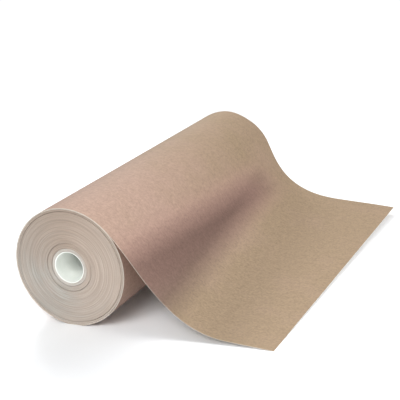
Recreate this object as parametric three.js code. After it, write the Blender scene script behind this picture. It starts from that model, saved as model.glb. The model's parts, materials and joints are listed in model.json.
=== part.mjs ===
// Wrapping paper roll lying on its side, with the free end of the paper drawn off over the top and down to
// the surface that the roll lies on. Millimetres, +Z up, roll axis along Y, origin at the bottom centre of
// the whole object. Paper is one long strip; here it is split where it moves or changes: the tight start on
// the core, the main winding, the slack outer turns, the last turn, and the free sheet in two lengths.
import * as THREE from 'three';

// Driving dimensions
const ROLL_RADIUS = 75;
const ROLL_LENGTH = 500;
const BORE_RADIUS = 19.05; // a 38 mm core bore
const LINER_WALL = 1.6;
const BOARD_WALL = 2.8;
const TIGHT_START_RADIUS = 30.4; // where the first, tightest turns give way to the main winding
const SLACK_TURNS_DEPTH = 4.2; // radial depth of the slack turns and the last turn together
const SHEET_THICKNESS = 0.6;
const CLEARANCE = 0.3; // between neighbouring pieces
const FLAT_HALF_WIDTH = 10; // the last turn lies flat on the floor this far to either side of the axis
const CORE_INSET = 1; // the core stops short of the paper at both ends
const SLACK_INSET = 0.6; // the slack turns have crept in at both ends

// The free sheet's path, seen along the axis, measured from the line under the axis
const FACETS = 72; // round the roll
const LIFT_ANGLE = 42.5; // degrees from the top to the line where the sheet leaves the roll
const SLIT_ANGLE = 20; // left open in the last turn, behind the sheet
const UPPER_HANDLE = 59; // how far the sheet holds the roll's tangent as it leaves
const LOWER_HANDLE = 84; // how long it takes to flatten out
const BEND_X = 203; // where the slope ends and the flat end begins
const BEND_Z = 5;
const TIP_X = 264;
const SLOPE_STEPS = 40;

const FACET_ANGLE = (2 * Math.PI) / FACETS;
const AXIS_X = -(TIP_X - ROLL_RADIUS) / 2;
// How far round from the bottom the tangents from the flat's sides meet the roll
const FLAT_REACH = 2 * Math.atan(FLAT_HALF_WIDTH / ROLL_RADIUS);

const wrappingPaper = new THREE.MeshStandardMaterial({ color: 0xbf9f88, roughness: 0.9, metalness: 0 });
const woundEdges = new THREE.MeshStandardMaterial({ color: 0xbbb0a5, roughness: 0.95, metalness: 0 });
const coreBoard = new THREE.MeshStandardMaterial({ color: 0xc9c4ba, roughness: 0.92, metalness: 0 });
const coreLiner = new THREE.MeshStandardMaterial({ color: 0xdddfd8, roughness: 0.8, metalness: 0 });

// Radii count to the middle of a facet, so a ring's lowest facet lies level at that radius.
const toCorner = (radius) => radius / Math.cos(FACET_ANGLE / 2);

// A plain ring about the roll's axis
function ring(name, innerRadius, outerRadius, length, material) {
  const inner = toCorner(innerRadius);
  const outer = toCorner(outerRadius);
  const profile = [
    new THREE.Vector2(inner, -length / 2),
    new THREE.Vector2(outer, -length / 2),
    new THREE.Vector2(outer, length / 2),
    new THREE.Vector2(inner, length / 2),
    new THREE.Vector2(inner, -length / 2),
  ];
  const mesh = new THREE.Mesh(new THREE.LatheGeometry(profile, FACETS, FACET_ANGLE / 2), material);
  mesh.name = name;
  mesh.position.set(AXIS_X, 0, ROLL_RADIUS);
  return mesh;
}

// A strip of paper whose edge is an outline in X and Z, as wide as the roll is long
function strip(name, outline, material) {
  const geometry = new THREE.ExtrudeGeometry(new THREE.Shape(outline), {
    depth: ROLL_LENGTH,
    bevelEnabled: false,
  });
  const mesh = new THREE.Mesh(geometry, material);
  mesh.name = name;
  mesh.rotation.x = Math.PI / 2;
  mesh.position.set(AXIS_X, ROLL_LENGTH / 2, 0);
  return mesh;
}

// A point on the roll at a radius and an angle from the top towards the free sheet
function onRoll(radius, angle) {
  return new THREE.Vector2(radius * Math.sin(angle), ROLL_RADIUS + radius * Math.cos(angle));
}

// The last turn: an open ring from the lift-off line back over the top, down to its flat on the floor, and
// up to just behind the free sheet
function lastTurnOutline() {
  const start = THREE.MathUtils.degToRad(LIFT_ANGLE);
  const facets = FACETS - Math.round(THREE.MathUtils.degToRad(SLIT_ANGLE) / FACET_ANGLE);
  const angles = Array.from({ length: facets + 1 }, (_, i) => start - i * FACET_ANGLE);
  const outerAt = (angle) => onRoll(toCorner(ROLL_RADIUS), angle);
  const innerAt = (angle) => onRoll(toCorner(ROLL_RADIUS - SHEET_THICKNESS), angle);
  const beforeFlat = angles.filter((angle) => angle + Math.PI > FLAT_REACH);
  const afterFlat = angles.filter((angle) => angle + Math.PI < -FLAT_REACH);
  const flat = [new THREE.Vector2(-FLAT_HALF_WIDTH, 0), new THREE.Vector2(FLAT_HALF_WIDTH, 0)];
  const outer = [...beforeFlat.map(outerAt), ...flat, ...afterFlat.map(outerAt)];
  return [...outer, ...angles.map(innerAt).reverse()];
}

// The free sheet's upper side: a curve that leaves the roll along its tangent, then a straight flat end
function slopeCurve() {
  const angle = THREE.MathUtils.degToRad(LIFT_ANGLE);
  const leave = onRoll(ROLL_RADIUS, angle);
  const bend = new THREE.Vector2(BEND_X, BEND_Z + SHEET_THICKNESS);
  const tangent = new THREE.Vector2(Math.cos(angle), -Math.sin(angle));
  const flat = flatLine().getTangent(0);
  const upper = leave.clone().addScaledVector(tangent, UPPER_HANDLE);
  const lower = bend.clone().addScaledVector(flat, -LOWER_HANDLE);
  return new THREE.CubicBezierCurve(leave, upper, lower, bend);
}

function flatLine() {
  const bend = new THREE.Vector2(BEND_X, BEND_Z + SHEET_THICKNESS);
  return new THREE.LineCurve(bend, new THREE.Vector2(TIP_X, SHEET_THICKNESS));
}

// Offsets a curve down by the sheet's thickness; both ends stop half a clearance short if asked
function sheetOutline(curve, steps, trimStart, trimEnd) {
  const length = curve.getLength();
  const first = trimStart / length;
  const last = 1 - trimEnd / length;
  const upper = [];
  const lower = [];
  for (let i = 0; i <= steps; i++) {
    const u = first + ((last - first) * i) / steps;
    const point = curve.getPointAt(u);
    const tangent = curve.getTangentAt(u);
    const inward = new THREE.Vector2(tangent.y, -tangent.x);
    upper.push(point);
    lower.push(point.clone().addScaledVector(inward, SHEET_THICKNESS));
  }
  return [...upper, ...lower.reverse()];
}

const linerRadius = BORE_RADIUS + LINER_WALL;
const boardRadius = linerRadius + CLEARANCE + BOARD_WALL;
const mainRadius = ROLL_RADIUS - SLACK_TURNS_DEPTH - CLEARANCE;
const slackRadius = ROLL_RADIUS - SHEET_THICKNESS - CLEARANCE;
const coreLength = ROLL_LENGTH - 2 * CORE_INSET;
const slackLength = ROLL_LENGTH - 2 * SLACK_INSET;

const roll = new THREE.Group();
roll.name = 'roll';
roll.add(ring('core_liner', BORE_RADIUS, linerRadius, coreLength, coreLiner));
roll.add(ring('core_board', linerRadius + CLEARANCE, boardRadius, coreLength, coreBoard));
roll.add(ring('tight_start', boardRadius + CLEARANCE, TIGHT_START_RADIUS, ROLL_LENGTH, woundEdges));
roll.add(ring('main_winding', TIGHT_START_RADIUS + CLEARANCE, mainRadius, ROLL_LENGTH, woundEdges));

const outerTurns = new THREE.Group();
outerTurns.name = 'outer_turns';
outerTurns.add(ring('slack_turns', mainRadius + CLEARANCE, slackRadius, slackLength, woundEdges));
outerTurns.add(strip('last_turn', lastTurnOutline(), wrappingPaper));

const freeSheet = new THREE.Group();
freeSheet.name = 'free_sheet';
const halfGap = CLEARANCE / 2;
freeSheet.add(strip('sheet_slope', sheetOutline(slopeCurve(), SLOPE_STEPS, halfGap, halfGap), wrappingPaper));
freeSheet.add(strip('sheet_end', sheetOutline(flatLine(), 1, halfGap, 0), wrappingPaper));

const wrappingPaperRoll = new THREE.Group();
wrappingPaperRoll.name = 'wrapping_paper_roll';
wrappingPaperRoll.add(roll, outerTurns, freeSheet);

export default wrappingPaperRoll;
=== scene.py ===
"""A roll of kraft wrapping paper on a white-lined board core, its free sheet drawn off over the top.

Looks only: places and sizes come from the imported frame. Metres, +Z up, roll axis along +Y. An angle on the
roll is counted from the top towards the free sheet, so the bottom is at minus half a turn.
"""
import json
import math

import bmesh
import bpy
import numpy as np
from mathutils import Matrix, Vector


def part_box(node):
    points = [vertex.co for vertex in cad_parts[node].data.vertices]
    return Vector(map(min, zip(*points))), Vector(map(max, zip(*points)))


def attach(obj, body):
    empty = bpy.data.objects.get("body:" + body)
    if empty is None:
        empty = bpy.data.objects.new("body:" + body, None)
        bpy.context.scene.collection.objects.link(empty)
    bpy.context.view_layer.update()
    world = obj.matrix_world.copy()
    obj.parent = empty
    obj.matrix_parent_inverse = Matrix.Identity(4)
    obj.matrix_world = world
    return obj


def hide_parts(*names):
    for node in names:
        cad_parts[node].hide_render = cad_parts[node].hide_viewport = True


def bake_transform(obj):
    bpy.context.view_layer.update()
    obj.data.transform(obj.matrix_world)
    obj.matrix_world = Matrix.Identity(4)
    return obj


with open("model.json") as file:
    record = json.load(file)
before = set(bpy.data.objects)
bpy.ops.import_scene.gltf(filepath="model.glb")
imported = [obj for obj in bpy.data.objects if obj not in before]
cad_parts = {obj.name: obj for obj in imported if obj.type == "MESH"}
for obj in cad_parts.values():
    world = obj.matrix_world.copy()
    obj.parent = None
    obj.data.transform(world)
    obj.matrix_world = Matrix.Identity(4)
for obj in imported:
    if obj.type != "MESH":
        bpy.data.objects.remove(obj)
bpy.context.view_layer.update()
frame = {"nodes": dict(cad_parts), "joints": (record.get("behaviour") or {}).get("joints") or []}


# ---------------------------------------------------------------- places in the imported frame

MM = 0.001
JOINTS = {joint["name"]: joint for joint in frame["joints"]}
AXIS_X, _, AXIS_Z = JOINTS["roll_turn"]["pos_m"]
LIFT_LINE = Vector(JOINTS["sheet_lift"]["pos_m"])


def node_radii(node):
    """Inner and outer radius of a ring node."""
    points = np.array([v.co for v in frame["nodes"][node].data.vertices])
    radius = np.hypot(points[:, 0] - AXIS_X, points[:, 2] - AXIS_Z)
    return radius.min(), radius.max()


turn_low, turn_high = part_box("last_turn")
RADIUS = (turn_high.z - turn_low.z) / 2
NEAR_Y, FAR_Y = turn_low.y, turn_high.y
WIDTH = FAR_Y - NEAR_Y
SLACK_INNER = node_radii("slack_turns")[0]


# ---------------------------------------------------------------- named values

# Camera
CAMERA_AZIMUTH = 25.63
CAMERA_ELEVATION = 17.62
CAMERA_ROLL = -3.94
CAMERA_DISTANCE = 1.478
CAMERA_LENS_MM = 96.5
CAMERA_SENSOR_MM = 36
CAMERA_CLIP = (0.05, 50)
CAMERA_TARGET = Vector((AXIS_X + 0.813 * RADIUS, 0.0, 1.144 * RADIUS))

# Paper
PAPER_THICKNESS = 0.28 * MM
TURN_PITCH = 0.36 * MM
LOOSE_TURN_COUNT = 3  # separate turns under the last one
SLACK_BAND_OUTER = RADIUS - TURN_PITCH * (LOOSE_TURN_COUNT + 1.3)  # just inside the loose turns
SHEET_SEAM = 0.66  # share of the slope's curve where its two pieces meet
FLAT_HALF_WIDTH = 10 * MM  # how far the last turn lies flat on the floor, to either side of the axis
FLAT_BLEND = 2.2  # the turn is round again at this many times the flat's half angle
SQUEEZE = 3.2 * MM  # the slack turns are drawn tight by this much at the far end, where the sheet pulls
SQUEEZE_RISE = (-5, 32)  # between these angles, in degrees, it comes in
SQUEEZE_FALL = (85, 145)  # and between these it goes out again

# The free sheet's two side edges. Lift is the angle at which it leaves the roll, in degrees. Upper and lower
# are the lengths of the slope's two handles, and bend and tip are points from the line under the axis, both
# in roll radii: where the slope flattens out, and the sheet's end.
NEAR_SIDE = {"lift": 38.5, "upper": 0.754, "lower": 1.124, "bend": (2.682, 0.064), "tip": (3.4625, 0.0035)}
FAR_SIDE = {"lift": 61.1, "upper": 0.37, "lower": 1.271, "bend": (2.369, 0.227), "tip": (3.553, 0.135)}
MIDDLE_LIFT = math.radians(50)  # about the angle at which the middle of the sheet leaves the roll

# Steps of the free paper's grid
SHEET_COLUMNS = 101
LAST_TURN_STEPS = 150
UPPER_SLOPE_STEPS = 70
LOWER_SLOPE_STEPS = 50
FLAT_END_STEPS = 35
SEAM_ROW = LAST_TURN_STEPS + UPPER_SLOPE_STEPS
LOOSE_STEPS_PER_TURN = 120

# Edges of the loose turns, which wander in and out but join the last turn flush
LOOSE_INSET = 0.30 * MM
WANDER_STEPS = 45
FLUSH_ANGLE = math.radians(60)

# Ripples of the paper that lies free. Distances along the paper are counted from the roll's top.
RIPPLE_HEIGHT = 0.35 * MM
RIPPLE_START = 0.05
RIPPLE_GROWTH = 0.08  # the ripples reach their full height over this distance
RIPPLE_CALM = 0.7  # how much weaker they are on the floor
NEAR_FLOOR = 12 * MM
MAY_TOUCH_FLOOR = 0.09  # past this distance along the paper, the floor holds it up
FLOOR_GAP = 0.02 * MM
WAVES = (  # share of the height, waves along and across in radians a metre, phase
    (0.50, 38, 9, 0.4),
    (0.32, 61, -23, 1.9),
    (0.26, 17, 41, 4.1),
    (0.18, 94, 57, 2.7),
)

# Painted light on the paper: pinker and brighter over the roll, fading to a duller tan along and across the
# sheet, by distance along it and by share of the width from the near side
TAN_ALONG = (0.15, 0.22)  # between these distances the painted light fades from pinkish to tan
TAN_ACROSS = (0.1, 0.85)  # and so it does between these shares of the width
TAN_ACROSS_MOST = 0.85
TONE_SLANT = 0.03  # the paper turns tan this much sooner along its length at the far side
PAINTED_SHADE_RISE = (0.07, 0.13)  # between these distances the paper takes a painted mauve shade
PAINTED_SHADE_FALL = (0.15, 0.20)  # between these it loses it again
PAINTED_SHADE_ACROSS = (0.7, 1.0)  # and towards the far side it has less of it
# How much of the painted mauve shade the loose turns carry
LOOSE_TURN_PAINTED_SHADE = 0.4

# Wound ends
WOUND_STEPS_ROUND = 224
SLACK_RING_STEP = 0.3 * MM
WINDING_RING_STEP = 0.33 * MM
SLACK_GROOVE = (0.9, 0.4 * MM)  # depth in millimetres, half width in metres
INNER_GROOVE = (0.8, 0.45 * MM)
OUTER_GROOVE = (1.0, 0.5 * MM)

# Mesh
SHARP_ANGLE = math.radians(35)

# Colours
# The pink kraft carries painted warm light; the tan kraft is the duller colour where that painted light has
# faded
PINK_KRAFT_PAINTED_LIGHT = (0.369, 0.254, 0.198)
TAN_KRAFT = (0.290, 0.211, 0.136)
# A painted shade tint, mauve, for the band across the upper slope
MAUVE_PAINTED_SHADE = (0.352, 0.219, 0.178)
DARK_FLECK = (0.20, 0.12, 0.08)
PALE_FLECK = (0.66, 0.54, 0.42)
TORN_FIBRE = (0.62, 0.55, 0.47)
TORN_FIBRE_REACH = 1.2 * MM
CUT_EDGE_DARK = (0.52, 0.465, 0.40)
CUT_EDGE_PALE = (0.66, 0.61, 0.54)
WOUND_DARK = (0.295, 0.262, 0.227)
WOUND_PALE = (0.375, 0.361, 0.331)
WOUND_WARM = (0.378, 0.322, 0.280)
# Painted shade and painted light on the wound ends, by side about the axis
WOUND_PAINTED_SHADE = (0.300, 0.232, 0.184)
WOUND_PAINTED_LIGHT = (0.405, 0.326, 0.270)
PAINTED_SHADE_SIDE = math.radians(0)  # painted shade: the wound ends are duller and pinker towards the top
PAINTED_LIGHT_SIDE = math.radians(100)  # painted light: the wound ends are paler and pinker towards the free sheet
BOARD_DARK = (0.40, 0.36, 0.32)
BOARD_PALE = (0.53, 0.50, 0.46)
LINER_DULL = (0.82, 0.85, 0.80)
LINER_BRIGHT = (0.88, 0.90, 0.86)
LINER_BOARD = (0.48, 0.44, 0.40)
LINER_SKIN = (0.8 * MM, 1.2 * MM)  # the liner's white ends between these depths from the bore
FLOOR_DULL = (0.955, 0.97, 0.985)
FLOOR_BRIGHT = (0.97, 0.985, 1.0)

# Stage
FLOOR_SIZE = 12.0
FLOOR_FADE = (0.45, 0.95)  # distances from the origin between which the floor fades into the surround
WORLD_LIGHT = 0.26
SEEN_WORLD = 1.05  # how bright the surround looks to the eye
LIGHT_DISTANCE = 1.2
LIGHT_TARGET = Vector((0, 0, 0.055))
SIDE_LIGHT_ELEVATION = 35
SOFTBOXES = (  # name, azimuth and elevation in degrees, power in watts, side in metres
    ("front_light", 0, 33, 8.9, 0.6),
    ("low_light", 30, 8, 3.0, 0.5),
    ("side_light", 90, SIDE_LIGHT_ELEVATION, 11.7, 0.5),
    ("back_light", 225, 38, 11.6, 0.6),
)

# The flag. Each end is a point by the slope, moved this far towards the side light, with two sides across.
FLAG_CLEAR = 0.085
FLAG_NEAR = Vector((AXIS_X + 1.37 * RADIUS, NEAR_Y - 0.12, 0.89 * RADIUS))
FLAG_FAR = Vector((AXIS_X + 1.19 * RADIUS, FAR_Y - 0.075, 0.89 * RADIUS))
FLAG_NEAR_SIDES = (-0.060, 0.042)
FLAG_FAR_SIDES = (-0.009, 0.002)


# ---------------------------------------------------------------- meshes

def make_object(name, vertices, faces, materials, face_materials=None):
    mesh = bpy.data.meshes.new(name)
    mesh.from_pydata([tuple(v) for v in vertices], [], faces)
    if face_materials is not None:
        mesh.polygons.foreach_set("material_index", np.asarray(face_materials, np.int32))
    for material in materials:
        mesh.materials.append(material)
    solid = bmesh.new()
    solid.from_mesh(mesh)
    bmesh.ops.recalc_face_normals(solid, faces=solid.faces)
    solid.to_mesh(mesh)
    solid.free()
    mesh.polygons.foreach_set("use_smooth", np.ones(len(mesh.polygons), bool))
    mesh.set_sharp_from_angle(angle=SHARP_ANGLE)
    mesh.update()
    piece = bpy.data.objects.new(name, mesh)
    bpy.context.scene.collection.objects.link(piece)
    return piece


def set_uv(piece, uv_of_vertex):
    mesh = piece.data
    layer = mesh.uv_layers.new(name="paper")
    corners = np.zeros(len(mesh.loops), np.int32)
    mesh.loops.foreach_get("vertex_index", corners)
    layer.data.foreach_set("uv", np.asarray(uv_of_vertex, np.float32)[corners].ravel())


def set_tone(piece, layer, value_of_vertex):
    attribute = piece.data.attributes.new(layer, "FLOAT", "POINT")
    attribute.data.foreach_set("value", np.asarray(value_of_vertex, np.float32))


def sheet_solid(name, top, uv, tones, materials):
    """A closed sheet from its upper surface, a grid of points: rows along the paper, columns across it."""
    rows, columns = top.shape[:2]
    along = np.gradient(top, axis=0)
    across = np.gradient(top, axis=1)
    normal = np.cross(along, across)
    normal /= np.linalg.norm(normal, axis=2, keepdims=True)
    bottom = top - normal * PAPER_THICKNESS
    vertices = np.concatenate([top, bottom[:, ::-1]], axis=1).reshape(-1, 3)
    ring = 2 * columns
    faces = []
    face_materials = []
    for i in range(rows - 1):
        for j in range(ring):
            k = (j + 1) % ring
            faces.append((i * ring + j, i * ring + k, (i + 1) * ring + k, (i + 1) * ring + j))
            face_materials.append(1 if j in (columns - 1, ring - 1) else 0)
    for i in (0, rows - 1):
        for j in range(columns - 1):
            under = ring - 1 - j
            faces.append((i * ring + j, i * ring + j + 1, i * ring + under - 1, i * ring + under))
            face_materials.append(1)
    piece = make_object(name, vertices, faces, materials, face_materials)
    set_uv(piece, np.concatenate([uv, uv[:, ::-1]], axis=1).reshape(-1, 2))
    for layer, tone in tones.items():
        set_tone(piece, layer, np.concatenate([tone, tone[:, ::-1]], axis=1).ravel())
    return piece


def ring_solid(name, radii, along, angles, materials, twist=None):
    """A closed ring about the roll's axis. radii and along hold the cross-section for each angle."""
    count, steps = radii.shape
    turned = angles if twist is None else angles + twist
    x = AXIS_X + radii * np.sin(turned)
    z = AXIS_Z + radii * np.cos(turned)
    vertices = np.stack([x, along, z], axis=2).reshape(-1, 3)
    faces = []
    for i in range(count):
        below = (i + 1) % count
        for j in range(steps):
            k = (j + 1) % steps
            faces.append((i * steps + j, i * steps + k, below * steps + k, below * steps + j))
    return make_object(name, vertices, faces, materials)


# ---------------------------------------------------------------- the paper's path

def smooth(value, low, high):
    """0 below low, 1 above high and a smooth step between them."""
    share = np.clip((value - low) / (high - low), 0, 1)
    return share * share * (3 - 2 * share)


def smooth_noise(rng, count, reach):
    """Random values from -1 to 1 that change over about reach steps."""
    knots = rng.uniform(-1, 1, count // reach + 4)
    place = np.arange(count) / reach
    low = place.astype(int)
    share = place - low
    share = share * share * (3 - 2 * share)
    return knots[low] * (1 - share) + knots[low + 1] * share


def between(first, second, share):
    return first + (second - first) * share


def side_shape(share):
    """The free sheet's shape at a share of the width, from the near side to the far side."""
    shape = {key: between(NEAR_SIDE[key], FAR_SIDE[key], share) for key in ("lift", "upper", "lower")}
    for key in ("bend", "tip"):
        shape[key] = between(np.array(NEAR_SIDE[key]), np.array(FAR_SIDE[key]), share) * RADIUS
    shape["lift"] = math.radians(shape["lift"])
    shape["share"] = share
    return shape


def squeezed(radius, angle, share):
    """A radius in the slack turns, drawn in towards the main winding on the free sheet's side."""
    turned = np.degrees((angle + math.pi) % (2 * math.pi)) - 180
    window = smooth(turned, *SQUEEZE_RISE) * (1 - smooth(turned, *SQUEEZE_FALL))
    depth = RADIUS - SLACK_INNER
    return SLACK_INNER + (radius - SLACK_INNER) * (1 - SQUEEZE / depth * window * share ** 2)


def turn_radius(angle, share):
    """The wound paper's outer side: a spiral whose last turn reaches the floor and lies flat there."""
    radius = RADIUS + TURN_PITCH * (angle + math.pi) / (2 * math.pi)
    from_bottom = np.abs(angle + math.pi)
    flat_angle = math.atan(FLAT_HALF_WIDTH / RADIUS)
    flat = RADIUS / np.cos(np.minimum(from_bottom, flat_angle))
    sag = (flat - RADIUS) * (1 - smooth(from_bottom, flat_angle, FLAT_BLEND * flat_angle))
    return squeezed(radius, angle, share) + sag


def on_turn(angle, share):
    """Points on the wound paper, as x from the axis and z."""
    radius = turn_radius(angle, share)
    return np.stack([radius * np.sin(angle), RADIUS + radius * np.cos(angle)], axis=-1)


def slope_points(shape, shares):
    """Points on the curve from where the sheet leaves the roll to where it flattens out."""
    lift = shape["lift"]
    leave = on_turn(np.array(lift), shape["share"])
    tangent = np.array([math.cos(lift), -math.sin(lift)])
    flat = shape["tip"] - shape["bend"]
    flat = flat / np.linalg.norm(flat)
    upper = leave + tangent * shape["upper"] * RADIUS
    lower = shape["bend"] - flat * shape["lower"] * RADIUS
    t = shares[:, None]
    return (
        (1 - t) ** 3 * leave
        + 3 * (1 - t) ** 2 * t * upper
        + 3 * (1 - t) * t ** 2 * lower
        + t ** 3 * shape["bend"]
    )


def flat_points(shape, shares):
    return shape["bend"] + (shape["tip"] - shape["bend"]) * shares[:, None]


def last_turn_start():
    """The last turn starts under the sheet, level with the lift line, so it stays clear of what lifts."""
    lift = math.atan2(LIFT_LINE.x - AXIS_X, LIFT_LINE.z - AXIS_Z)
    return -(math.pi + lift)


def strip_points(shape):
    """One line along the free paper: the last turn, the slope up to its seam and past it, the flat end."""
    turn = on_turn(np.linspace(last_turn_start(), shape["lift"], LAST_TURN_STEPS + 1), shape["share"])
    upper = slope_points(shape, np.linspace(0, SHEET_SEAM, UPPER_SLOPE_STEPS + 1))
    lower = slope_points(shape, np.linspace(SHEET_SEAM, 1, LOWER_SLOPE_STEPS + 1))
    flat = flat_points(shape, np.linspace(0, 1, FLAT_END_STEPS + 1))
    return np.concatenate([turn[:-1], upper, lower[1:-1], flat])


def strip_grid():
    """The free paper's points, as x from the axis, y and z, and the share of the width at each of them."""
    shares = np.linspace(0, 1, SHEET_COLUMNS)
    lines = []
    for share in shares:
        line = strip_points(side_shape(share))
        y = np.full(len(line), NEAR_Y + WIDTH * share)
        lines.append(np.stack([line[:, 0], y, line[:, 1]], axis=1))
    grid = np.stack(lines, axis=1)
    return grid, np.broadcast_to(shares, grid.shape[:2])


def lengths_along(points):
    """Distance along each column of a grid from its first row."""
    steps = np.linalg.norm(np.diff(points, axis=0), axis=2)
    return np.concatenate([np.zeros((1, points.shape[1])), np.cumsum(steps, axis=0)])


def top_row():
    """The row of the grid at the roll's top, as counted in the middle of the sheet."""
    turned_to_top = -last_turn_start()
    return int(LAST_TURN_STEPS * turned_to_top / (turned_to_top + MIDDLE_LIFT))


def near_floor(grid):
    """1 where the sheet is close to the floor, 0 where it is well above it."""
    return np.clip(1 - grid[:, :, 2] / NEAR_FLOOR, 0, 1)


def ripple(along, across):
    """Slow waves in paper that lies free."""
    waves = sum(
        size * np.sin(along * per_metre_along + across * per_metre_across + phase)
        for size, per_metre_along, per_metre_across, phase in WAVES
    )
    return RIPPLE_HEIGHT * waves


def rippled(grid, from_top, share):
    """The grid with its ripples, in the scene's own frame and held clear of the floor."""
    growth = np.clip((from_top - RIPPLE_START) / RIPPLE_GROWTH, 0, 1)
    calm = 1 - RIPPLE_CALM * near_floor(grid)
    result = grid.copy()
    result[:, :, 2] += ripple(from_top, share * WIDTH) * growth * calm
    lowest = PAPER_THICKNESS + FLOOR_GAP
    held_up = np.maximum(result[:, :, 2], lowest)
    result[:, :, 2] = np.where(from_top > MAY_TOUCH_FLOOR, held_up, result[:, :, 2])
    result[:, :, 0] += AXIS_X
    return result


def painted_light_falloff(along, share):
    """0 where the paper is pinkish with painted warm light, on the near part of the roll, and 1 where it is
    the duller tan out of it.
    """
    run = smooth(along + TONE_SLANT * share, *TAN_ALONG)
    depth = smooth(share, *TAN_ACROSS)
    return run + TAN_ACROSS_MOST * depth * (1 - run)


def painted_shade_mauve(along, share):
    """How far the paper takes a painted mauve shade, in a band across the upper slope."""
    band = smooth(along, *PAINTED_SHADE_RISE) * (1 - smooth(along + TONE_SLANT * share, *PAINTED_SHADE_FALL))
    return band * (1 - smooth(share, *PAINTED_SHADE_ACROSS))


# ---------------------------------------------------------------- pieces of paper

def free_paper(materials):
    """The last turn with the upper slope, and the lower slope with the flat end."""
    grid, share = strip_grid()
    along = lengths_along(grid)
    from_top = along - along[top_row()]
    top = rippled(grid, from_top, share)
    uv = np.stack([from_top, share * WIDTH], axis=2)
    # tone holds painted warm light, pink over the roll fading to tan; mauve holds painted shade on the slope
    tones = {"tone": painted_light_falloff(from_top, share), "mauve": painted_shade_mauve(from_top, share)}
    halves = (("last_turn_and_slope", slice(0, SEAM_ROW + 1)), ("sheet_foot_and_end", slice(SEAM_ROW, None)))
    pieces = []
    for name, rows in halves:
        part_tones = {layer: tone[rows] for layer, tone in tones.items()}
        pieces.append(sheet_solid(name, top[rows], uv[rows], part_tones, materials))
    first, second = pieces
    return first, second, along


def loose_turns(materials, rng):
    """The loose turns under the last one, one long spiral strip whose edges wander in and out a little."""
    end = last_turn_start()
    start = end - 2 * math.pi * LOOSE_TURN_COUNT
    steps = LOOSE_STEPS_PER_TURN * LOOSE_TURN_COUNT
    angles = np.linspace(start, end, steps + 1)
    wander = smooth_noise(rng, steps + 1, WANDER_STEPS)
    inset = LOOSE_INSET * (1 + wander) * smooth(end - angles, 0, FLUSH_ANGLE)
    shares = np.concatenate([[0.0, 0.004], np.linspace(0.05, 0.95, 7), [0.996, 1.0]])
    lines = [on_turn(angles, share) for share in shares]
    x = np.stack([AXIS_X + line[:, 0] for line in lines], axis=1)
    y = NEAR_Y + inset[:, None] + (WIDTH - 2 * inset[:, None]) * shares
    z = np.stack([line[:, 1] for line in lines], axis=1)
    top = np.stack([x, y, z], axis=2)
    along = lengths_along(top)
    uv = np.stack([along - along[-1], np.broadcast_to(shares * WIDTH, along.shape)], axis=2)
    # The loose turns carry the full painted warm light and part of the painted mauve shade
    tones = {"tone": np.zeros(along.shape), "mauve": np.full(along.shape, LOOSE_TURN_PAINTED_SHADE)}
    return sheet_solid("loose_turns_spiral", top, uv, tones, materials)


# ---------------------------------------------------------------- wound ends

def end_relief(rng, radii, angles, grooves):
    """How far each turn's edge stands out of a wound end, by radius and angle."""
    fine_mm = 0.05
    band_mm = 0.16
    drift_mm = 0.14
    count = len(radii)
    fine = rng.uniform(-1, 1, count)[:, None] * fine_mm
    bands = smooth_noise(rng, count, 5)[:, None] * band_mm
    drift = np.zeros((count, len(angles)))
    for waves in (1, 2, 3):
        size = smooth_noise(rng, count, 7)[:, None] * drift_mm / waves
        phase = smooth_noise(rng, count, 23)[:, None] * math.pi
        drift += size * np.cos(waves * angles + phase)
    relief = fine + bands + drift
    for radius, depth_mm, width in grooves:
        near = np.exp(-(((radii - radius) / width) ** 2))[:, None]
        relief -= near * depth_mm * (0.8 + 0.2 * np.cos(angles + 2.4))
    return relief * MM


def wound_ring(name, span, ends, step, grooves, materials, rng, squeeze=False):
    """A ring of wound paper whose two ends show the turns."""
    inner, outer = span
    count = int(round((outer - inner) / step)) + 1
    radii = np.linspace(inner, outer, count)
    angles = np.linspace(0, 2 * math.pi, WOUND_STEPS_ROUND, endpoint=False)
    near = ends[0] - end_relief(rng, radii, angles, grooves)
    far = ends[1] + end_relief(rng, radii, angles, grooves)
    near_radii = radii[:, None] + np.zeros(WOUND_STEPS_ROUND)
    far_radii = squeezed(near_radii, angles, 1.0) if squeeze else near_radii
    section_radii = np.concatenate([near_radii, far_radii[::-1]])
    section_along = np.concatenate([near, far[::-1]])
    return ring_solid(name, section_radii, section_along, angles, materials)


# ---------------------------------------------------------------- core

def core_board_piece(materials, rng):
    """The core's grey board, its ends cut across several plies."""
    inner, outer = node_radii("core_board")
    low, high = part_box("core_board")
    plies = 5
    steps_per_ply = 5
    steps_round = 160
    crown_mm = 0.12
    fuzz_mm = 0.05
    radii = np.linspace(inner, outer, plies * steps_per_ply + 1)
    angles = np.linspace(0, 2 * math.pi, steps_round, endpoint=False)
    in_ply = (np.arange(len(radii)) % steps_per_ply) / steps_per_ply
    crown = np.sin(in_ply * math.pi)[:, None] * crown_mm
    fuzz = rng.uniform(-1, 1, (len(radii), steps_round)) * fuzz_mm
    relief = (crown + fuzz) * MM
    section_radii = np.concatenate([radii, radii[::-1]])[:, None] + np.zeros(steps_round)
    section_along = np.concatenate([low.y - relief, (high.y + relief)[::-1]])
    return ring_solid("core_board_tube", section_radii, section_along, angles, materials)


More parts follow.
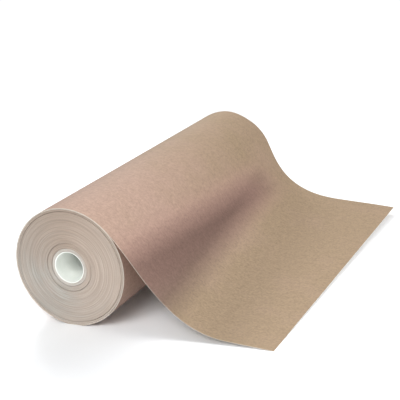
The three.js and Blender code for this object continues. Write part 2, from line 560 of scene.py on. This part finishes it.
def core_liner_piece(materials, rng):
    """The core's white lining, with the seam of its spiral winding along the bore."""
    inner, outer = node_radii("core_liner")
    low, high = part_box("core_liner")
    steps_round = 120
    steps_along = 167
    lip_steps = 8
    seam_pitch = 0.105
    seam_depths_mm = (0.12, 0.22, 0.10)
    lip_flat_mm = 0.15
    lip_crown_mm = 0.25
    fuzz_mm = 0.06
    lengths = np.linspace(low.y, high.y, steps_along + 1)
    angles = np.linspace(0, 2 * math.pi, steps_round, endpoint=False)
    seam = np.zeros(steps_round)
    seam[:len(seam_depths_mm)] = seam_depths_mm
    bore = inner + np.broadcast_to(seam, (len(lengths), steps_round)) * MM
    lip_radii = np.linspace(inner, outer, lip_steps + 1)[1:]
    lip = np.sin(np.linspace(0, math.pi, lip_steps + 1)[1:]) * lip_crown_mm + lip_flat_mm
    fuzz = rng.uniform(-fuzz_mm, fuzz_mm, (lip_steps, steps_round))
    near_lip = low.y - (lip[:, None] + fuzz) * MM
    far_lip = high.y + (lip[:, None] + fuzz) * MM
    flat = np.zeros(steps_round)
    section_radii = np.concatenate([bore, lip_radii[:, None] + flat, lip_radii[::-1, None] + flat])
    section_along = np.concatenate([lengths[:, None] + flat, far_lip, near_lip[::-1]])
    twist = 2 * math.pi * (section_along - low.y) / seam_pitch
    return ring_solid("core_liner_tube", section_radii, section_along, angles, materials, twist=twist)


# ---------------------------------------------------------------- materials

class Nodes:
    """A short hand for building a material's node tree."""

    def __init__(self, name):
        self.material = bpy.data.materials.new(name)
        self.material.use_nodes = True
        self.tree = self.material.node_tree
        self.shader = self.tree.nodes["Principled BSDF"]

    def add(self, kind, **settings):
        node = self.tree.nodes.new(kind)
        for key, value in settings.items():
            setattr(node, key, value)
        return node

    def link(self, source, target):
        self.tree.links.new(source, target)

    def math(self, operation, first, second):
        node = self.add("ShaderNodeMath", operation=operation)
        for socket, value in zip(node.inputs, (first, second)):
            if isinstance(value, (int, float)):
                socket.default_value = value
            else:
                self.link(value, socket)
        return node.outputs[0]

    def scaled(self, vector, factors):
        node = self.add("ShaderNodeVectorMath", operation="MULTIPLY")
        self.link(vector, node.inputs[0])
        node.inputs[1].default_value = factors
        return node.outputs[0]

    def noise(self, vector, scale, detail=3, roughness=0.6):
        node = self.add("ShaderNodeTexNoise")
        self.link(vector, node.inputs["Vector"])
        node.inputs["Scale"].default_value = scale
        node.inputs["Detail"].default_value = detail
        node.inputs["Roughness"].default_value = roughness
        return node.outputs["Fac"]

    def remap(self, value, low, high, to_low, to_high):
        node = self.add("ShaderNodeMapRange")
        self.link(value, node.inputs["Value"])
        node.inputs["From Min"].default_value = low
        node.inputs["From Max"].default_value = high
        node.inputs["To Min"].default_value = to_low
        node.inputs["To Max"].default_value = to_high
        return node.outputs["Result"]

    def spread(self, noise, low, high):
        """A noise's usual range, brought to low and high."""
        return self.remap(noise, 0.3, 0.7, low, high)

    def mix(self, share, first, second, blend="MIX"):
        node = self.add("ShaderNodeMix", data_type="RGBA", blend_type=blend)
        for socket, value in ((node.inputs[0], share), (node.inputs[6], first), (node.inputs[7], second)):
            if isinstance(value, (int, float)):
                socket.default_value = value
            elif isinstance(value, tuple):
                socket.default_value = (*value, 1.0)
            else:
                self.link(value, socket)
        return node.outputs[2]

    def bump(self, height, strength, distance, normal=None):
        node = self.add("ShaderNodeBump")
        node.inputs["Strength"].default_value = strength
        node.inputs["Distance"].default_value = distance
        self.link(height, node.inputs["Height"])
        if normal is not None:
            self.link(normal, node.inputs["Normal"])
        return node.outputs["Normal"]

    def finish(self, colour, roughness, normal, specular=0.3):
        self.link(colour, self.shader.inputs["Base Color"])
        self.link(roughness, self.shader.inputs["Roughness"])
        self.link(normal, self.shader.inputs["Normal"])
        self.shader.inputs["Specular IOR Level"].default_value = specular
        return self.material


def kraft_face():
    """Unbleached paper: clouded formation, short fibres both ways, dark and pale flecks."""
    n = Nodes("kraft_face")
    uv = n.add("ShaderNodeUVMap", uv_map="paper").outputs["UV"]
    tone = n.add("ShaderNodeAttribute", attribute_name="tone").outputs["Fac"]
    mauve = n.add("ShaderNodeAttribute", attribute_name="mauve").outputs["Fac"]
    patch = n.noise(uv, 14)
    cloud = n.noise(uv, 120)
    mottle = n.noise(uv, 320)
    fibre = n.noise(n.scaled(uv, (700, 1200, 1)), 1, detail=5, roughness=0.65)
    cross_fibre = n.noise(n.scaled(uv, (1200, 700, 1)), 1, detail=4)
    fleck = n.noise(n.scaled(uv, (700, 1600, 1)), 1, detail=2, roughness=0.5)
    tone = n.math("ADD", tone, n.spread(patch, -0.2, 0.2))
    # The base colour holds painted warm light, pink fading to tan, and painted mauve shade on the upper slope
    base = n.mix(mauve, n.mix(tone, PINK_KRAFT_PAINTED_LIGHT, TAN_KRAFT), MAUVE_PAINTED_SHADE)
    shade = n.math("ADD", n.spread(cloud, -0.08, 0.08), n.spread(mottle, -0.15, 0.15))
    shade = n.math("ADD", shade, n.spread(fibre, -0.06, 0.06))
    shade = n.math("ADD", shade, n.spread(cross_fibre, -0.04, 0.04))
    shade = n.math("ADD", shade, 1.0)
    colour = n.mix(1.0, base, shade, "MULTIPLY")
    colour = n.mix(n.remap(fleck, 0.66, 0.74, 0.0, 0.35), colour, DARK_FLECK)
    colour = n.mix(n.remap(cross_fibre, 0.68, 0.76, 0.0, 0.3), colour, PALE_FLECK)
    colour = n.mix(torn_fibre_share(n, uv), colour, TORN_FIBRE)
    roughness = n.spread(mottle, 0.76, 0.88)
    height = n.math("ADD", fibre, n.math("MULTIPLY", cross_fibre, 0.6))
    normal = n.bump(height, 0.25, 0.00008)
    normal = n.bump(cloud, 0.18, 0.0008, normal)
    return n.finish(colour, roughness, normal)


def torn_fibre_share(n, uv):
    """How far the face is paled next to the strip's two cut sides, where torn fibres stand up."""
    split = n.add("ShaderNodeSeparateXYZ")
    n.link(uv, split.inputs[0])
    across = split.outputs[1]
    from_side = n.math("MINIMUM", across, n.math("SUBTRACT", WIDTH, across))
    return n.remap(from_side, 0.0, TORN_FIBRE_REACH, 0.5, 0.0)


def kraft_cut_edge():
    """The paper's cut edge, paler and hairier than its face."""
    n = Nodes("kraft_cut_edge")
    place = n.add("ShaderNodeTexCoord").outputs["Object"]
    hair = n.noise(place, 2400)
    colour = n.mix(n.spread(hair, 0.0, 1.0), CUT_EDGE_DARK, CUT_EDGE_PALE)
    roughness = n.spread(hair, 0.85, 0.95)
    return n.finish(colour, roughness, n.bump(hair, 0.3, 0.0001))


def about_axis(n):
    """Distance from the roll's axis, the direction from it, which has no seam, and the place itself."""
    place = n.add("ShaderNodeTexCoord").outputs["Object"]
    offset = n.add("ShaderNodeVectorMath", operation="SUBTRACT")
    n.link(place, offset.inputs[0])
    offset.inputs[1].default_value = (AXIS_X, 0, AXIS_Z)
    flat = n.scaled(offset.outputs[0], (1, 0, 1))
    length = n.add("ShaderNodeVectorMath", operation="LENGTH")
    n.link(flat, length.inputs[0])
    direction = n.add("ShaderNodeVectorMath", operation="NORMALIZE")
    n.link(flat, direction.inputs[0])
    return length.outputs["Value"], direction.outputs[0], place


def ring_noise(n, radius, direction, per_metre, spread, detail):
    """Noise in rings: quick along the radius, slow round the axis."""
    split = n.add("ShaderNodeSeparateXYZ")
    n.link(direction, split.inputs[0])
    joined = n.add("ShaderNodeCombineXYZ")
    n.link(n.math("MULTIPLY", radius, per_metre), joined.inputs[0])
    n.link(n.math("MULTIPLY", split.outputs[0], spread), joined.inputs[1])
    n.link(n.math("MULTIPLY", split.outputs[2], spread), joined.inputs[2])
    return n.noise(joined.outputs[0], 1, detail)


def facing_side(n, direction, side, most):
    """From 0 on the side away from a direction about the axis to most on the side towards it."""
    dot = n.add("ShaderNodeVectorMath", operation="DOT_PRODUCT")
    n.link(direction, dot.inputs[0])
    dot.inputs[1].default_value = (math.sin(side), 0, math.cos(side))
    return n.remap(dot.outputs["Value"], -0.3, 1.0, 0.0, most)


def wound_edges():
    """The ends of the roll: hundreds of paper edges, in lines of slightly different tone."""
    n = Nodes("wound_edges_finish")
    radius, direction, place = about_axis(n)
    lines = ring_noise(n, radius, direction, 1500, 0.7, 3)
    bands = ring_noise(n, radius, direction, 260, 0.9, 3)
    broad = ring_noise(n, radius, direction, 60, 1.3, 2)
    dust = n.noise(place, 900)
    colour = n.mix(n.remap(bands, 0.32, 0.68, 0.0, 1.0), WOUND_DARK, WOUND_PALE)
    colour = n.mix(n.remap(broad, 0.35, 0.65, 0.0, 0.6), colour, WOUND_WARM)
    # Painted shade towards the top and painted light towards the free sheet
    colour = n.mix(facing_side(n, direction, PAINTED_SHADE_SIDE, 0.8), colour, WOUND_PAINTED_SHADE)
    colour = n.mix(facing_side(n, direction, PAINTED_LIGHT_SIDE, 0.7), colour, WOUND_PAINTED_LIGHT)
    shade = n.math("ADD", n.spread(lines, -0.22, 0.22), n.spread(dust, -0.05, 0.05))
    colour = n.mix(1.0, colour, n.math("ADD", shade, 1.0), "MULTIPLY")
    roughness = n.spread(dust, 0.86, 0.96)
    return n.finish(colour, roughness, n.bump(lines, 0.4, 0.00012), 0.2)


def core_board_finish():
    """Grey-white core board, fibrous, with its plies showing at the ends."""
    n = Nodes("core_board_finish")
    radius, direction, place = about_axis(n)
    plies = ring_noise(n, radius, direction, 1900, 0.8, 2)
    fibre = n.noise(place, 1300, detail=4, roughness=0.65)
    colour = n.mix(n.remap(plies, 0.35, 0.65, 0.0, 1.0), BOARD_DARK, BOARD_PALE)
    colour = n.mix(1.0, colour, n.spread(fibre, 0.92, 1.08), "MULTIPLY")
    roughness = n.spread(fibre, 0.85, 0.95)
    return n.finish(colour, roughness, n.bump(fibre, 0.35, 0.00015), 0.2)


def core_liner_finish():
    """White lining paper, a little green and slightly calendered, on plain board that shows at the ends."""
    n = Nodes("core_liner_finish")
    radius, _, place = about_axis(n)
    bore = node_radii("core_liner")[0]
    skin_inner, skin_outer = (bore + depth for depth in LINER_SKIN)
    cloud = n.noise(place, 90)
    fibre = n.noise(place, 1500, detail=4)
    colour = n.mix(n.spread(cloud, 0.0, 1.0), LINER_DULL, LINER_BRIGHT)
    colour = n.mix(n.remap(radius, skin_inner, skin_outer, 0.0, 1.0), colour, LINER_BOARD)
    colour = n.mix(1.0, colour, n.spread(fibre, 0.97, 1.03), "MULTIPLY")
    roughness = n.spread(cloud, 0.55, 0.7)
    return n.finish(colour, roughness, n.bump(fibre, 0.15, 0.0001))


def floor_finish():
    """White paper sweep that fades into the white surround."""
    n = Nodes("floor_finish")
    place = n.add("ShaderNodeTexCoord").outputs["Object"]
    grain = n.noise(place, 40, detail=2, roughness=0.5)
    colour = n.mix(grain, FLOOR_DULL, FLOOR_BRIGHT)
    roughness = n.spread(grain, 0.6, 0.7)
    n.finish(colour, roughness, n.bump(grain, 0.02, 0.0002), 0.1)
    distance = n.add("ShaderNodeVectorMath", operation="LENGTH")
    n.link(place, distance.inputs[0])
    fade = n.remap(distance.outputs["Value"], *FLOOR_FADE, 0.0, 1.0)
    mix = n.add("ShaderNodeMixShader")
    n.link(fade, mix.inputs[0])
    n.link(n.shader.outputs[0], mix.inputs[1])
    n.link(n.add("ShaderNodeBsdfTransparent").outputs[0], mix.inputs[2])
    n.link(mix.outputs[0], n.tree.nodes["Material Output"].inputs["Surface"])
    return n.material


# ---------------------------------------------------------------- stage

def add_camera():
    """The camera looks at its target, turned about its own line of sight by its roll."""
    azimuth = math.radians(CAMERA_AZIMUTH)
    elevation = math.radians(CAMERA_ELEVATION)
    forward = Vector((
        -math.sin(azimuth) * math.cos(elevation),
        math.cos(azimuth) * math.cos(elevation),
        -math.sin(elevation),
    ))
    right = Vector((math.cos(azimuth), math.sin(azimuth), 0))
    right = Matrix.Rotation(-math.radians(CAMERA_ROLL), 3, forward) @ right
    up = right.cross(forward)
    data = bpy.data.cameras.new("camera")
    data.lens = CAMERA_LENS_MM
    data.sensor_width = CAMERA_SENSOR_MM
    data.clip_start, data.clip_end = CAMERA_CLIP
    camera = bpy.data.objects.new("camera", data)
    bpy.context.scene.collection.objects.link(camera)
    turn = Matrix((right, up, -forward)).transposed().to_4x4()
    camera.matrix_world = Matrix.Translation(CAMERA_TARGET - forward * CAMERA_DISTANCE) @ turn
    bpy.context.scene.camera = camera


def add_floor():
    bpy.ops.mesh.primitive_plane_add(size=FLOOR_SIZE, location=(0, 0, 0))
    floor = bpy.context.object
    floor.name = "floor"
    floor.data.materials.append(floor_finish())


def add_softbox(name, azimuth, elevation, power, size):
    """A square light aimed at the roll. Azimuth counts from straight in front of the near end, towards +X."""
    across = math.cos(math.radians(elevation))
    direction = Vector((
        across * math.sin(math.radians(azimuth)),
        -across * math.cos(math.radians(azimuth)),
        math.sin(math.radians(elevation)),
    ))
    data = bpy.data.lights.new(name, "AREA")
    data.shape = "SQUARE"
    data.size = size
    data.energy = power
    box = bpy.data.objects.new(name, data)
    bpy.context.scene.collection.objects.link(box)
    box.location = LIGHT_TARGET + direction * LIGHT_DISTANCE
    box.rotation_mode = "QUATERNION"
    box.rotation_quaternion = direction.to_track_quat("Z", "Y")


def add_flag():
    """A strip between the side light and the slope, as a studio flag. It shades the slope and isn't seen."""
    elevation = math.radians(SIDE_LIGHT_ELEVATION)
    to_light = Vector((math.cos(elevation), 0, math.sin(elevation)))
    across = Vector((-to_light.z, 0, to_light.x))
    corners = []
    for end, sides in ((FLAG_NEAR, FLAG_NEAR_SIDES), (FLAG_FAR, FLAG_FAR_SIDES)):
        corners += [end + to_light * FLAG_CLEAR + across * side for side in sides]
    mesh = bpy.data.meshes.new("flag")
    mesh.from_pydata([tuple(corner) for corner in corners], [], [(0, 1, 3, 2)])
    flag = bpy.data.objects.new("flag", mesh)
    bpy.context.scene.collection.objects.link(flag)
    flag.visible_camera = False
    flag.visible_diffuse = False
    flag.visible_glossy = False


def add_world():
    """White all round to the eye; as light, dimmer than it looks."""
    world = bpy.data.worlds.new("studio")
    bpy.context.scene.world = world
    world.use_nodes = True
    nodes = world.node_tree.nodes
    nodes["Background"].inputs["Color"].default_value = (1, 1, 1, 1)
    nodes["Background"].inputs["Strength"].default_value = WORLD_LIGHT
    seen = nodes.new("ShaderNodeBackground")
    seen.inputs["Color"].default_value = (1, 1, 1, 1)
    seen.inputs["Strength"].default_value = SEEN_WORLD
    path = nodes.new("ShaderNodeLightPath")
    mix = nodes.new("ShaderNodeMixShader")
    links = world.node_tree.links
    links.new(path.outputs["Is Camera Ray"], mix.inputs[0])
    links.new(nodes["Background"].outputs[0], mix.inputs[1])
    links.new(seen.outputs[0], mix.inputs[2])
    links.new(mix.outputs[0], nodes["World Output"].inputs["Surface"])


def build_stage():
    """The camera, the floor and the studio's light."""
    add_camera()
    add_floor()
    add_world()
    for softbox in SOFTBOXES:
        add_softbox(*softbox)
    add_flag()


# ---------------------------------------------------------------- the object

def build_paper():
    """The free sheet with the last turn, and the loose turns under it."""
    rng = np.random.default_rng(seed=7)
    faces = [kraft_face(), kraft_cut_edge()]
    first, second, along = free_paper(faces)
    loose = loose_turns(faces, rng)
    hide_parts("last_turn", "sheet_slope")
    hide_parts("sheet_end")
    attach(loose, "outer_turns")
    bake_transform(first)
    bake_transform(second)


def build_windings():
    """The wound paper under the loose turns: a slack band, the main winding and the tight start."""
    rng = np.random.default_rng(seed=11)
    finish = [wound_edges()]
    low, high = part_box("slack_turns")
    span = (SLACK_INNER, SLACK_BAND_OUTER)
    grooves = [(SLACK_INNER, *SLACK_GROOVE)]
    slack = wound_ring(
        "slack_turns_band", span, (low.y, high.y), SLACK_RING_STEP, grooves, finish, rng, squeeze=True
    )
    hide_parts("slack_turns")
    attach(slack, "outer_turns")
    for name, node in (("main_winding_turns", "main_winding"), ("tight_start_turns", "tight_start")):
        inner, outer = node_radii(node)
        low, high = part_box(node)
        grooves = [(inner, *INNER_GROOVE), (outer, *OUTER_GROOVE)]
        ring = wound_ring(name, (inner, outer), (low.y, high.y), WINDING_RING_STEP, grooves, finish, rng)
        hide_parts(node)
        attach(ring, "roll")


def build_core():
    """The core's board tube and its lining."""
    rng = np.random.default_rng(seed=23)
    board = core_board_piece([core_board_finish()], rng)
    liner = core_liner_piece([core_liner_finish()], rng)
    for piece, node in ((board, "core_board"), (liner, "core_liner")):
        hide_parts(node)
        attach(piece, "roll")


build_stage()
build_paper()
build_windings()
build_core()
bpy.context.scene.view_settings.view_transform = "Standard"
